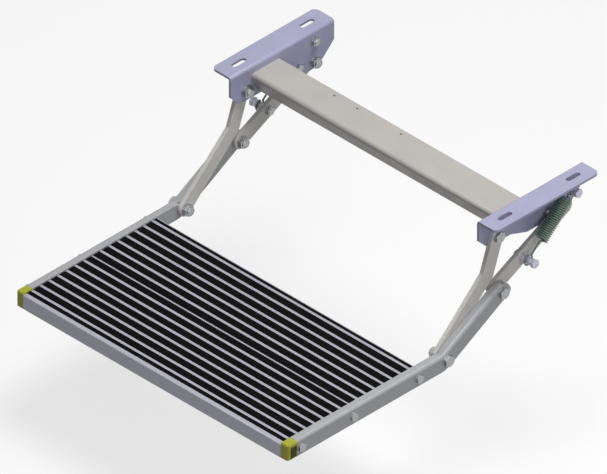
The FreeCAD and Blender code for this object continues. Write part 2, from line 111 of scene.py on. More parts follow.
class Texture(Enum):
    """How a finish breaks up: the name of the node group that does it."""

    PEEL = "powder_coat"
    BRUSHED = "drawn_metal"
    PLATED = "zinc_plate"
    GRAIN = "moulded_grain"


@dataclass(frozen=True)
class Finish:
    """A material: its colour and gloss, and how strongly its texture shows."""

    name: str
    colour: Point
    texture: Texture
    metallic: float = 0.0
    roughness: float = 0.45
    scale: float = 900.0
    mottle: float = 0.06
    bump: float = 0.25
    coat: float = 0.0
    specular: float = 0.5
    dust: float = 1.0

    def build(self) -> bpy.types.Material:
        """Makes the material, or returns it if it exists.

        Returns:
            The material, with the finish's constants on its shader and its group.
        """
        label = self.name + "_finish"
        material = bpy.data.materials.get(label)
        if material:
            return material
        material = bpy.data.materials.new(label)
        material.use_nodes = True
        tree = material.node_tree
        shader = tree.nodes["Principled BSDF"]
        shader.inputs["Metallic"].default_value = self.metallic
        shader.inputs["Coat Weight"].default_value = self.coat
        shader.inputs["Specular IOR Level"].default_value = self.specular
        group = tree.nodes.new("ShaderNodeGroup")
        group.node_tree = SurfaceGroup(self.texture).build()
        values = {
            "Colour": (*self.colour, 1.0),
            "Roughness": self.roughness,
            "Scale": self.scale,
            "Mottle": self.mottle,
            "Bump": self.bump,
            "Dust": self.dust,
        }
        for name, value in values.items():
            group.inputs[name].default_value = value
        for name, entry in (("Colour", "Base Color"), ("Roughness", "Roughness"), ("Normal", "Normal")):
            tree.links.new(group.outputs[name], shader.inputs[entry])
        return material


@dataclass(frozen=True)
class SurfaceGroup:
    """Shader node group shared by every finish of one texture."""

    texture: Texture
    dust_colour: Point = (0.62, 0.60, 0.56)
    dust_share: float = 0.08
    patch_share: float = 0.5
    bump_height: float = 0.1 * MM
    roughness_swing: float = 0.12
    drawn_out: Point = (1.0, 0.02, 1.0)
    cloud_scale: float = 22.0
    crystal_scale: float = 160.0
    detail: float = 4.0
    contrast: float = 3.0

    def build(self) -> Tree:
        """Makes the group, or returns it if it exists.

        Returns:
            A group that puts out a colour, a roughness and a normal.
        """
        tree = bpy.data.node_groups.get(self.texture.value)
        if tree:
            return tree
        tree = bpy.data.node_groups.new(self.texture.value, "ShaderNodeTree")
        for name in ("Colour", "Roughness", "Scale", "Mottle", "Bump", "Dust"):
            kind = "NodeSocketColor" if name == "Colour" else "NodeSocketFloat"
            tree.interface.new_socket(name, in_out="INPUT", socket_type=kind)
        for name, kind in (("Colour", "Color"), ("Roughness", "Float"), ("Normal", "Vector")):
            tree.interface.new_socket(name, in_out="OUTPUT", socket_type="NodeSocket" + kind)
        enter = tree.nodes.new("NodeGroupInput")
        leave = tree.nodes.new("NodeGroupOutput")
        place = self._place(tree)
        fine = self._pattern(tree, place, enter.outputs["Scale"])
        broad = self._broad(tree, place)
        shade = math_node(tree, "MULTIPLY_ADD", broad, enter.outputs["Mottle"], 1.0)
        colour = tree.nodes.new("ShaderNodeMix")
        colour.data_type = "RGBA"
        colour.blend_type = "MULTIPLY"
        colour.inputs["Factor"].default_value = 1.0
        tree.links.new(enter.outputs["Colour"], colour.inputs["A"])
        tree.links.new(shade, colour.inputs["B"])
        dusty = self._dust(tree, colour.outputs["Result"], broad, enter.outputs["Dust"])
        tree.links.new(dusty, leave.inputs["Colour"])
        rough = math_node(tree, "MULTIPLY_ADD", broad, self.roughness_swing, enter.outputs["Roughness"])
        tree.links.new(rough, leave.inputs["Roughness"])
        bump = tree.nodes.new("ShaderNodeBump")
        bump.inputs["Distance"].default_value = self.bump_height
        tree.links.new(fine, bump.inputs["Height"])
        tree.links.new(enter.outputs["Bump"], bump.inputs["Strength"])
        tree.links.new(bump.outputs["Normal"], leave.inputs["Normal"])
        return tree

    def _place(self, tree: Tree) -> Socket:
        """Object coordinates, drawn out along the bars and planks for a brushed finish.

        Args:
            tree: The group under construction.

        Returns:
            The vector socket that the patterns read.
        """
        place = tree.nodes.new("ShaderNodeTexCoord").outputs["Object"]
        if self.texture is not Texture.BRUSHED:
            return place
        stretch = tree.nodes.new("ShaderNodeVectorMath")
        stretch.operation = "MULTIPLY"
        stretch.inputs[1].default_value = self.drawn_out
        tree.links.new(place, stretch.inputs[0])
        return stretch.outputs["Vector"]

    def _pattern(self, tree: Tree, place: Socket, scale: Socket) -> Socket:
        """Fine pattern that the bump follows.

        Args:
            tree: The group under construction.
            place: The coordinates.
            scale: The group's scale input.

        Returns:
            The pattern's height.
        """
        cells = self.texture is Texture.GRAIN
        node = tree.nodes.new("ShaderNodeTexVoronoi" if cells else "ShaderNodeTexNoise")
        tree.links.new(place, node.inputs["Vector"])
        tree.links.new(scale, node.inputs["Scale"])
        return node.outputs["Distance" if cells else "Fac"]

    def _broad(self, tree: Tree, place: Socket) -> Socket:
        """Slow, low-contrast cloud about zero, or crystal patches on plated steel.

        Args:
            tree: The group under construction.
            place: The coordinates.

        Returns:
            A value from about minus one to one.
        """
        noise = tree.nodes.new("ShaderNodeTexNoise")
        plated = self.texture is Texture.PLATED
        noise.inputs["Scale"].default_value = self.crystal_scale if plated else self.cloud_scale
        noise.inputs["Detail"].default_value = self.detail
        tree.links.new(place, noise.inputs["Vector"])
        return math_node(tree, "MULTIPLY_ADD", noise.outputs["Fac"], self.contrast, -self.contrast / 2)

    def _dust(self, tree: Tree, colour: Socket, broad: Socket, amount: Socket) -> Socket:
        """Thin road dust on faces that look up.

        Args:
            tree: The group under construction.
            colour: The clean colour.
            broad: The slow cloud, which thins the dust out in patches.
            amount: How dusty the finish is, where 1 is the group's own share.

        Returns:
            The dusty colour.
        """
        split = tree.nodes.new("ShaderNodeSeparateXYZ")
        tree.links.new(tree.nodes.new("ShaderNodeNewGeometry").outputs["Normal"], split.inputs["Vector"])
        up = math_node(tree, "MAXIMUM", split.outputs["Z"], 0.0)
        patch = math_node(tree, "MULTIPLY_ADD", broad, self.patch_share, 1 - self.patch_share)
        share = math_node(tree, "MULTIPLY", up, patch)
        share = math_node(tree, "MULTIPLY", share, self.dust_share)
        share = math_node(tree, "MULTIPLY", share, amount)
        mix = tree.nodes.new("ShaderNodeMix")
        mix.data_type = "RGBA"
        mix.inputs["B"].default_value = (*self.dust_colour, 1.0)
        tree.links.new(share, mix.inputs["Factor"])
        tree.links.new(colour, mix.inputs["A"])
        return mix.outputs["Result"]


BRACKET_PAINT = Finish("bracket_paint", (0.385, 0.39, 0.565), Texture.PEEL, roughness=0.42)
FRAME_PAINT = Finish("frame_paint", (0.50, 0.47, 0.44), Texture.PEEL, roughness=0.46)
# Painted light: the arms and links carry the same paint as the cross beam, drawn here as a lighter copy of
# it.
LINK_PAINT_PAINTED_LIGHT = Finish("link_paint_painted_light", (0.72, 0.70, 0.67), Texture.PEEL, roughness=0.46)
SIDE_PAINT = Finish("side_paint", (0.43, 0.435, 0.455), Texture.PEEL, roughness=0.44)
DECK_ALUMINIUM = Finish(
    "deck_aluminium", (0.43, 0.43, 0.50), Texture.BRUSHED,
    metallic=0.25, roughness=0.46, scale=2600.0, bump=0.04,
)
GRIP_RUBBER = Finish(
    "grip_rubber", (0.012, 0.012, 0.015), Texture.GRAIN, roughness=0.9, bump=0.3, specular=0.0, dust=0.05
)
CAP_PLASTIC = Finish(
    "cap_plastic", (0.43, 0.44, 0.03), Texture.GRAIN, roughness=0.45, scale=1500.0, specular=0.3, dust=0.2
)
# Painted shade: a near-black sheet that stands for the shadow in the end caps' recesses.
CAP_RECESS_SHADE = Finish(
    "cap_recess_painted_shade", (0.07, 0.068, 0.015), Texture.GRAIN, roughness=0.6, scale=1500.0, specular=0.2, dust=0.2
)
SPRING_PAINT = Finish("spring_paint", (0.16, 0.26, 0.20), Texture.PEEL, roughness=0.3, coat=0.4)
ZINC_STEEL = Finish(
    "zinc_steel", (0.36, 0.37, 0.38), Texture.PLATED, metallic=1.0, roughness=0.34, mottle=0.12, bump=0.15
)
PIN_STEEL = Finish(
    "pin_steel", (0.78, 0.77, 0.92), Texture.PLATED, metallic=0.2, roughness=0.38, mottle=0.08, bump=0.1
)
NYLON = Finish("nylon_washer", (0.72, 0.71, 0.66), Texture.GRAIN, roughness=0.5)
WELD_METAL = Finish("weld_bead", (0.40, 0.38, 0.35), Texture.PEEL, roughness=0.5, mottle=0.2, bump=0.5)

NODE_FINISHES = {
    BRACKET_PAINT: ("left_bracket", "right_bracket"),
    FRAME_PAINT: ("cross_beam",),
    LINK_PAINT_PAINTED_LIGHT: ("left_front_arm", "right_front_arm", "left_rear_link", "right_rear_link"),
    SIDE_PAINT: ("left_side_member", "right_side_member"),
    DECK_ALUMINIUM: ("front_plank", "rear_plank"),
    GRIP_RUBBER: ("grip_strips",),
    CAP_PLASTIC: ("left_end_cap", "right_end_cap"),
    SPRING_PAINT: ("left_spring", "right_spring"),
    PIN_STEEL: ("spring_anchor_pins", "spring_pins"),
    ZINC_STEEL: (
        "front_pivot_bolts", "front_pivot_nuts", "rear_pivot_pins", "rear_pivot_nuts",
        "spring_anchor_nuts", "stop_pegs", "spring_pin_nuts", "upper_pivot_ends", "upper_pivot_nuts",
        "deck_bolts", "lower_pivot_bolts", "lower_pivot_nuts", "upper_pivot_bolts",
    ),
}


@dataclass
class Span:
    """One solid of a node: its lowest and highest corner."""

    low: Vector
    high: Vector

    @property
    def centre(self) -> Vector:
        """Middle of the solid's box."""
        return (self.low + self.high) / 2

    @property
    def side(self) -> int:
        """1 on the right-hand side of the step, -1 on the left."""
        return 1 if self.centre.y > 0 else -1

    @property
    def inner(self) -> float:
        """Plane of the solid's end nearer to the middle of the step."""
        return min(self.low.y, self.high.y, key=abs)

    @property
    def outer(self) -> float:
        """Plane of its other end."""
        return max(self.low.y, self.high.y, key=abs)


def spans(node: str) -> list[Span]:
    """Boxes of a node's separate solids.

    Args:
        node: Name of a CAD node.

    Returns:
        One span for each solid, in no set order.
    """
    mesh = frame["nodes"][node].data
    keys = [tuple(round(c, CORNER_DIGITS) for c in vertex.co) for vertex in mesh.vertices]
    parent = {key: key for key in keys}

    def root(key: Point) -> Point:
        """Follows a vertex to the one that stands for its solid.

        Args:
            key: The vertex's place.

        Returns:
            The place of the vertex that stands for all those joined to it.
        """
        while parent[key] != key:
            parent[key] = parent[parent[key]]
            key = parent[key]
        return key

    for face in mesh.polygons:
        first = root(keys[face.vertices[0]])
        for index in face.vertices[1:]:
            parent[root(keys[index])] = first
    found: dict[Point, Span] = {}
    for key in parent:
        top = root(key)
        span = found.setdefault(top, Span(Vector(key), Vector(key)))
        span.low = Vector(map(min, span.low, key))
        span.high = Vector(map(max, span.high, key))
    return list(found.values())


@dataclass
class Builder:
    """Collects the vertices and faces of one piece."""

    vertices: list[Vector] = field(default_factory=list)
    faces: list[list[int]] = field(default_factory=list)
    merge: float = 0.001 * MM

    def stack(self, rings: list[Ring], caps: bool = True) -> None:
        """Skins a row of rings that have the same number of points.

        Args:
            rings: The rings, from one end to the other.
            caps: Whether the first and last ring are closed.
        """
        start, count = len(self.vertices), len(rings[0])
        for ring in rings:
            self.vertices.extend(ring)
        for row in range(len(rings) - 1):
            low, high = start + row * count, start + (row + 1) * count
            for i in range(count):
                after = (i + 1) % count
                self.faces.append([low + i, low + after, high + after, high + i])
        if caps:
            self.faces.append([start + i for i in reversed(range(count))])
            self.faces.append([start + (len(rings) - 1) * count + i for i in range(count)])

    def tube(self, path: list[Vector], radii: list[float], sides: int) -> None:
        """Sweeps a round section along a path.

        Args:
            path: Points of the centre line.
            radii: The section's radius at each point.
            sides: Corners of the section.
        """
        normal = (path[1] - path[0]).orthogonal().normalized()
        rings = []
        for i, (point, radius) in enumerate(zip(path, radii)):
            ahead = path[min(i + 1, len(path) - 1)] - path[max(i - 1, 0)]
            ahead.normalize()
            normal = (normal - ahead * normal.dot(ahead)).normalized()
            across = ahead.cross(normal)
            turns = [2 * math.pi * k / sides for k in range(sides)]
            rings.append([point + radius * (math.cos(t) * normal + math.sin(t) * across) for t in turns])
        self.stack(rings)

    def prism(self, outline: Outline, y0: float, y1: float) -> None:
        """Extrudes an outline of (x, z) points across the step, from plane y0 to plane y1."""
        self.stack([[Vector((x, y, z)) for x, z in outline] for y in (y0, y1)])

    def finish(
        self, name: str, body: str, finish: Finish, slot: str, smooth: float = 32.0
    ) -> bpy.types.Object:
        """Makes the object, rides it on its body and gives it its finish.

        Args:
            name: The piece's name.
            body: CAD body that it moves with.
            finish: Its material.
            slot: The record's material slot; not used.
            smooth: Edges flatter than this many degrees are shaded smooth.

        Returns:
            The object.
        """
        mesh = bpy.data.meshes.new(name)
        mesh.from_pydata([tuple(v) for v in self.vertices], [], self.faces)
        mesh.validate()
        mesh.shade_smooth()
        mesh.set_sharp_from_angle(angle=math.radians(smooth))
        mesh.materials.append(finish.build())
        made = bpy.data.objects.new(name, mesh)
        bpy.context.scene.collection.objects.link(made)
        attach(made, body)
        self._close(mesh)
        LOG.info("%s: %d faces", name, len(mesh.polygons))
        return made

    def _close(self, mesh: bpy.types.Mesh) -> None:
        """Joins points that lie on each other and turns every shell's faces outwards.

        Args:
            mesh: The mesh to mend.
        """
        work = bmesh.new()
        work.from_mesh(mesh)
        bmesh.ops.remove_doubles(work, verts=work.verts, dist=self.merge)
        bmesh.ops.recalc_face_normals(work, faces=work.faces)
        work.to_mesh(mesh)
        work.free()


@dataclass(frozen=True)
class EdgeBreak:
    """Modifiers that join a piece's faces, merge the flat ones and round the sharp edges."""

    width: float
    join: float = 0.005 * MM
    flat: float = 1.0
    sharp: float = 40.0
    segments: int = 2

    def apply(self, piece: bpy.types.Object) -> None:
        """Adds the modifiers.

        Args:
            piece: A CAD node, or a piece made here.
        """
        weld = piece.modifiers.new("join", "WELD")
        weld.merge_threshold = self.join
        flat = piece.modifiers.new("flat", "DECIMATE")
        flat.decimate_type = "DISSOLVE"
        flat.angle_limit = math.radians(self.flat)
        bevel = piece.modifiers.new("edges", "BEVEL")
        bevel.width = self.width
        bevel.segments = self.segments
        bevel.limit_method = "ANGLE"
        bevel.angle_limit = math.radians(self.sharp)
        bevel.harden_normals = True
        LOG.info("%s: edges rounded by %.2f mm", piece.name, self.width / MM)


@dataclass
class Turning:
    """Round and hexagonal shapes about an axis across the step."""

    centre: Vector
    segments: int = 36
    chamfer_lean: float = 30.0

    def ring(self, y: float, radius: Polar, lift: Polar | None = None) -> Ring:
        """One ring whose radius, and place along the axis, may change round it.

        Args:
            y: Plane of the ring.
            radius: Radius at an angle.
            lift: Shift along Y at an angle.

        Returns:
            The ring's points.
        """
        points = []
        for i in range(self.segments):
            turn = 2 * math.pi * i / self.segments
            reach = radius(turn)
            shift = lift(turn) if lift else 0.0
            x = self.centre.x + reach * math.sin(turn)
            z = self.centre.z + reach * math.cos(turn)
            points.append(Vector((x, y + shift, z)))
        return points

    def rounds(self, profile: Outline) -> list[Ring]:
        """Turned rings from (radius, y) pairs, from one end of the section to the other."""
        return [self.ring(y, lambda turn, r=radius: r) for radius, y in profile]

    def hexagon(self, flats: float, base: float, top: float, chamfer: float) -> list[Ring]:
        """Hexagonal block whose corners are turned back at the top, as on a bolt's head.

        Args:
            flats: Distance across the flats.
            base: Plane that it stands on.
            top: Plane of its outer face.
            chamfer: Radius of the flat circle left on top.

        Returns:
            The rings.
        """
        out = 1.0 if top > base else -1.0

        def corner(turn: float) -> float:
            """Distance to the hexagon's side at an angle, with its corners up and down."""
            part = (turn + math.pi / 6) % (math.pi / 3) - math.pi / 6
            return flats / 2 / math.cos(math.pi / 6 - abs(part))

        def drop(turn: float) -> float:
            """How far the side's top edge lies below the top face."""
            return -out * max(corner(turn) - chamfer, 0.0) * math.tan(math.radians(self.chamfer_lean))

        return [
            self.ring(base, corner),
            self.ring(top, corner, drop),
            self.ring(top, lambda turn: chamfer),
        ]


@dataclass
class TurnedPieces:
    """Fasteners of one kind, which stand for the solids of a node and are built as one piece."""

    node: str
    body: str
    steel: ClassVar[Finish] = ZINC_STEEL

    def build(self) -> None:
        """Builds every fastener of the node."""
        made = Builder()
        for span in spans(self.node):
            self.shape(made, span, Turning(span.centre))
        piece = made.finish(self.node + "_detail", self.body, self.steel, self.steel.name)
        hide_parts(self.node)

    def shape(self, made: Builder, span: Span, turning: Turning) -> None:
        """Adds the fastener that stands for one solid, to the piece under construction."""
        raise NotImplementedError


@dataclass
class HexBolts(TurnedPieces):
    """Bolt heads with a washer face, a turned chamfer and their shanks."""

    flats: float
    shank: float
    washer_radius: float
    seat: float
    washer: float = 1.4 * MM
    washer_edge: float = 0.3 * MM
    straight_share: float = 0.8
    foot_share: float = 0.9
    shank_share: float = 0.5
    dish: float = 0.3 * MM
    dish_rim: float = 0.34
    dish_floor: float = 0.30

    def shape(self, made: Builder, span: Span, turning: Turning) -> None:
        """Adds a washer, a head and a shank.

        Args:
            made: The piece under construction.
            span: The solid that they stand for.
            turning: Shapes about its axis.
        """
        seat, top = span.side * self.seat, span.outer
        lift = span.side * self.washer
        made.stack(turning.rounds([
            (self.washer_radius, seat),
            (self.washer_radius, seat + lift * self.straight_share),
            (self.washer_radius - self.washer_edge, seat + lift),
        ]))
        foot = seat + lift * self.foot_share
        rings = turning.hexagon(self.flats, foot, top, self.flats * HEAD_CHAMFER)
        rings += turning.rounds([
            (self.flats * self.dish_rim, top),
            (self.flats * self.dish_floor, top - span.side * self.dish),
        ])
        made.stack(rings)
        made.stack(turning.rounds([(self.shank, span.inner), (self.shank, seat + lift * self.shank_share)]))


@dataclass
class LockNuts(TurnedPieces):
    """Lock nuts with a washer, a domed collar and the bolt's last threads showing."""

    flats: float
    thread: float
    washer_radius: float
    washer: float = 1.8 * MM
    seat_edge: float = 0.2 * MM
    edge: float = 0.3 * MM
    sunk: float = 0.1 * MM
    hex_share: float = 0.66
    chamfer: float = 0.47
    collar: float = 0.43
    collar_foot: float = 0.4 * MM
    dome: Pairs = ((0.0, 1.5 * MM), (0.9 * MM, 0.5 * MM), (2.0 * MM, 0.4 * MM))
    throat: float = 1.2 * MM
    thread_depth: float = 0.4 * MM
    thread_core: float = 0.5 * MM
    thread_pitch: float = 0.7 * MM
    thread_foot: float = 2.5 * MM
    first_crest: float = 2.0 * MM
    thread_turns: int = 3

    def shape(self, made: Builder, span: Span, turning: Turning) -> None:
        """Adds a washer, a nut and a threaded end.

        Args:
            made: The piece under construction.
            span: The solid that they stand for.
            turning: Shapes about its axis.
        """
        seat, end = span.outer, span.inner
        way = -span.side
        under = seat + way * self.washer
        made.stack(turning.rounds([
            (self.washer_radius - self.seat_edge, seat),
            (self.washer_radius, seat + way * self.edge),
            (self.washer_radius, under - way * self.edge),
            (self.washer_radius - self.edge, under),
        ]))
        foot, hex_end = under - way * self.sunk, under + (end - under) * self.hex_share
        made.stack(turning.hexagon(self.flats, foot, hex_end, self.flats * self.chamfer))
        collar = self.flats * self.collar
        profile = [(collar, hex_end - way * self.collar_foot)]
        profile += [(collar - inset, end - way * depth) for inset, depth in self.dome]
        profile.append((self.thread + self.thread_depth, end - way * self.throat))
        made.stack(turning.rounds(profile))
        profile = [(self.thread - self.thread_core, end - way * self.thread_foot)]
        for i in range(self.thread_turns):
            crest = end - way * (self.first_crest - i * self.thread_pitch)
            root = crest + way * self.thread_pitch / 2
            profile += [(self.thread, crest), (self.thread - self.thread_depth, root)]
        made.stack(turning.rounds(profile))


@dataclass
class ShoulderPins(TurnedPieces):
    """Spring pins: chamfered head, a shoulder with a shallow groove for the hook, and a thread."""

    flats: float
    shoulder: float
    head: float
    through: float
    edge: float = 0.3 * MM
    groove: float = 0.25 * MM
    groove_floor: float = 1.4 * MM
    groove_mouth: float = 2.2 * MM
    shank: float = 4.0 * MM
    steel: ClassVar[Finish] = PIN_STEEL

    def shape(self, made: Builder, span: Span, turning: Turning) -> None:
        """Adds a shoulder, a head and a shank.

        Args:
            made: The piece under construction.
            span: The solid that they stand for.
            turning: Shapes about its axis.
        """
        side = span.side
        top = span.outer
        under = top - side * self.head
        foot = span.inner + side * self.through
        middle = (foot + under) / 2
        made.stack(turning.rounds([
            (self.shoulder - self.edge, foot),
            (self.shoulder, foot + side * self.edge),
            (self.shoulder, middle - side * self.groove_mouth),
            (self.shoulder - self.groove, middle - side * self.groove_floor),
            (self.shoulder - self.groove, middle + side * self.groove_floor),
            (self.shoulder, middle + side * self.groove_mouth),
            (self.shoulder, under),
        ]))
        made.stack(turning.hexagon(self.flats, under, top, self.flats * HEAD_CHAMFER))
        made.stack(turning.rounds([(self.shank, span.inner), (self.shank, foot)]))


@dataclass
class LowHeadPins(TurnedPieces):
    """Pivot pins whose low, domed heads clear the springs, each with its turning centre."""

    shank: float
    head_radius: float = 9.5 * MM
    head: float = 2.2 * MM
    foot_edge: float = 0.5 * MM
    head_edge: float = 0.2 * MM
    dome: Pairs = ((1.0, 0.1), (1.0, 0.4), (0.92, 0.72), (0.72, 0.93), (0.48, 1.0))
    centre_radius: float = 1.8 * MM
    centre_tip: float = 0.2 * MM
    centre_depth: float = 0.5 * MM

    def shape(self, made: Builder, span: Span, turning: Turning) -> None:
        """Adds a shank with its domed head.

        Args:
            made: The piece under construction.
            span: The solid that they stand for.
            turning: Shapes about its axis.
        """
        side = span.side
        top = span.outer
        seat = top - side * self.head
        profile = [
            (self.shank - self.foot_edge, span.inner),
            (self.shank, span.inner + side * self.foot_edge),
            (self.shank, seat),
            (self.head_radius - self.head_edge, seat),
        ]
        profile += [(self.head_radius * width, seat + side * self.head * rise) for width, rise in self.dome]
        profile += [(self.centre_radius, top), (self.centre_tip, top - side * self.centre_depth)]
        made.stack(turning.rounds(profile))


@dataclass
class StopPegs(TurnedPieces):
    """Rounded stop pegs, each with its bolt's head on the bracket's inner face."""

    flats: float
    plate: float
    head: float = 5.0 * MM
    edge: float = 0.8 * MM

    def shape(self, made: Builder, span: Span, turning: Turning) -> None:
        """Adds a peg and a bolt's head.

        Args:
            made: The piece under construction.
            span: The solid that they stand for.
            turning: Shapes about its axis.
        """
        side = span.side
        radius = (span.high.z - span.low.z) / 2
        end = span.outer
        made.stack(turning.rounds([
            (radius, span.inner),
            (radius, end - side * self.edge),
            (radius - self.edge, end),
        ]))
        inner = side * self.plate
        made.stack(turning.hexagon(self.flats, inner, inner - side * self.head, self.flats * HEAD_CHAMFER))


@dataclass
class Fasteners:
    """All the step's bolts, nuts and pins."""

    pivot_flats: float = 17.0 * MM
    pivot_shank: float = 5.0 * MM
    pivot_washer: float = 10.0 * MM
    small_flats: float = 13.0 * MM
    small_shank: float = 4.0 * MM
    small_washer: float = 8.0 * MM
    small_head: float = 5.3 * MM
    shoulder: float = 6.2 * MM
    arm_play: float = 0.2 * MM

    def build(self) -> None:
        """Builds every set of fasteners."""
        side_face = max(abs(c.y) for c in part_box("right_side_member"))
        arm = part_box("right_front_arm")
        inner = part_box("right_bracket")[0].y
        pivot = (self.pivot_flats, self.pivot_shank, self.pivot_washer)
        small = (self.small_flats, self.small_shank, self.small_washer)
        for node, body, size, seat in (
            ("front_pivot_bolts", "frame", pivot, arm[1].y + self.arm_play),
            ("lower_pivot_bolts", "tread", pivot, side_face),
            ("upper_pivot_bolts", "tread", pivot, side_face),
            ("deck_bolts", "tread", small, side_face),
        ):
            HexBolts(node, body, *size, seat).build()
        for node, body, size in (
            ("front_pivot_nuts", "frame", pivot),
            ("rear_pivot_nuts", "frame", pivot),
            ("upper_pivot_nuts", "rear_links", pivot),
            ("lower_pivot_nuts", "tread", pivot),
            ("spring_anchor_nuts", "frame", small),
            ("spring_pin_nuts", "rear_links", small),
        ):
            LockNuts(node, body, *size).build()
        for node, body, through in (
            ("spring_anchor_pins", "frame", arm[0].y - inner - BAR_GAP),
            ("spring_pins", "rear_links", arm[1].y - arm[0].y),
        ):
            ShoulderPins(node, body, self.small_flats, self.shoulder, self.small_head, through).build()
        LowHeadPins("rear_pivot_pins", "frame", self.pivot_shank).build()
        StopPegs("stop_pegs", "frame", self.small_flats, inner).build()


@dataclass
class Springs:
    """Close-wound tension springs with a short hook at the anchor and a long one at the link's pin."""

    wire: float = 1.5 * MM
    coil: float = 9.5 * MM
    eye: float = 8.1 * MM
    short_hook: float = 15.0 * MM
    long_hook: float = 36.0 * MM
    pitch: float = 3.35 * MM
    steps: int = 22
    sides: int = 8
    eye_start: float = 15.0
    eye_turn: float = 320.0
    lead_gap: float = 0.8 * MM
    bend: float = 3.5 * MM
    bend_share: float = 0.6
    bend_rises: tuple[float, ...] = (0.35, 0.7)

    def build(self) -> None:
        """Builds both springs and works out how far each would shorten when stowed; that share is not used.
        """
        anchors = {s.side: s.centre for s in spans("spring_anchor_pins")}
        pins = {s.side: s.centre for s in spans("spring_pins")}
        for side, name in ((1, "right_spring"), (-1, "left_spring")):
            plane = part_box(name)
            y = (plane[0].y + plane[1].y) / 2
            start = Vector((anchors[side].x, y, anchors[side].z))
            end = Vector((pins[side].x, y, pins[side].z))
            made = Builder()
            path = self._path(start, end)
            made.tube(path, [self.wire] * len(path), self.sides)
            piece = made.finish(name + "_coil", "springs", SPRING_PAINT, "spring_paint", smooth=80.0)
            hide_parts(name)
            self._share_kept(start, end)
            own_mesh(piece)

    def _share_kept(self, start: Vector, end: Vector) -> float:
        """Stowed length of a spring as a share of its length when the step is down.

        Args:
            start: The anchor pin's centre.
            end: The link pin's centre.

        Returns:
            The share.
        """
        joint = next(j for j in frame["joints"] if j["name"] == "link_swing")
        turn = Matrix.Rotation(math.radians(joint["range_deg"][1]), 3, Vector(joint["axis"]))
        centre = Vector(joint["pos_m"])
        centre.y = end.y
        stowed = centre + turn @ (end - centre)
        return (stowed - start).length / (end - start).length

    def _path(self, start: Vector, end: Vector) -> list[Vector]:
        """Centre line of the wire from one eye to the other.

        Args:
            start: The anchor pin's centre.
            end: The link pin's centre.

        Returns:
            Points along the wire.
        """
        length = (end - start).length
        way = (end - start).normalized()
        across = Vector((0.0, 1.0, 0.0))
        third = way.cross(across)

        def at(along: float, side: float, out: float) -> Vector:
            """Point at a distance along the spring, to its side and out across the step."""
            return start + way * along + third * side + across * out

        def eye(centre: float, first: float, last: float) -> list[Vector]:
            """Arc of a hook's eye, between two angles in degrees."""
            turns = [math.radians(first + (last - first) * i / self.steps) for i in range(self.steps + 1)]
            return [at(centre + self.eye * math.cos(t), self.eye * math.sin(t), 0.0) for t in turns]

        coil_start, coil_end = self.short_hook, length - self.long_hook
        count = round((coil_end - coil_start) / self.pitch)
        path = eye(0.0, self.eye_turn + self.eye_start, self.eye_start)
        path += self._lead(at, self.eye, coil_start, 1)
        for i in range(count * self.steps + 1):
            turn = 2 * math.pi * i / self.steps
            along = coil_start + (coil_end - coil_start) * i / (count * self.steps)
            path.append(at(along, self.coil * math.sin(turn), self.coil * math.cos(turn)))
        path += self._lead(at, length - self.eye, coil_end, -1)[::-1]
        path += eye(length, 180.0, 180.0 + self.eye_turn)
        return path

    def _lead(self, at: Place, near: float, coil: float, way: int) -> list[Vector]:
        """Wire from an eye along the spring's axis and out to its first or last turn.

        Args:
            at: Gives a point from its distances.
            near: Where the eye meets the axis.
            coil: Where the coil starts.
            way: 1 at the anchor's end, -1 at the other.

        Returns:
            Points from the eye to the coil.
        """
        points = [at(near + way * self.lead_gap, 0.0, 0.0), at(coil - way * self.bend, 0.0, 0.0)]
        for rise in self.bend_rises:
            back = self.bend * (1 - rise) * self.bend_share
            points.append(at(coil - way * back, 0.0, self.coil * rise))
        return points


@dataclass
class GripStrips:
    """Ribbed rubber strips that fill the planks' grooves."""

    ridges: int = 5
    full_width: float = 12.4 * MM
    fewest: int = 2
    ridge: float = 0.9 * MM
    crest: float = 0.35
    rounding: float = 0.1 * MM
    foot_share: float = 0.8
    rim_share: float = 1.1

    def build(self) -> None:
        """Builds all the strips as one piece, with fewer ridges on a narrower strip."""
        made = Builder()
        for span in spans("grip_strips"):
            width = span.high.x - span.low.x
            count = max(self.fewest, round(self.ridges * width / self.full_width))
            step = width / count
            margin = step * (1 - self.crest) / 2
            foot, rim = margin * self.foot_share, margin * self.rim_share
            top, valley = span.high.z, span.high.z - self.ridge
            outline = [(span.low.x, span.low.z), (span.high.x, span.low.z)]
            for i in range(count):
                edge = span.high.x - i * step
                outline += [
                    (edge, valley),
                    (edge - foot, top - self.rounding),
                    (edge - rim, top),
                    (edge - step + rim, top),
                    (edge - step + foot, top - self.rounding),
                ]
            outline.append((span.low.x, valley))
            made.prism(outline, span.low.y, span.high.y)
        piece = made.finish("grip_strips_detail", "tread", GRIP_RUBBER, "grip_rubber", smooth=20.0)
        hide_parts("grip_strips")


@dataclass
class PivotWashers:
    """Thin nylon washers in the gaps beside the bars."""

    bore: float = 5.4 * MM
    outer: float = 10.5 * MM
    play: float = 0.04 * MM

    def build(self) -> None:
        """Builds the washers between each bracket and its bars."""
        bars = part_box("right_front_arm")[0].y
        for name, node in (("front", "front_pivot_bolts"), ("rear", "rear_pivot_pins")):
            made = Builder()
            for span in spans(node):
                y0 = span.side * (bars - BAR_GAP + self.play)
                y1 = span.side * (bars - self.play)
                profile = [(self.bore, y0), (self.outer, y0), (self.outer, y1), (self.bore, y1)]
                made.stack(Turning(span.centre).rounds(profile + profile[:1]), caps=False)
            made.finish(f"{name}_pivot_nylon", "frame", NYLON, "zinc_steel")


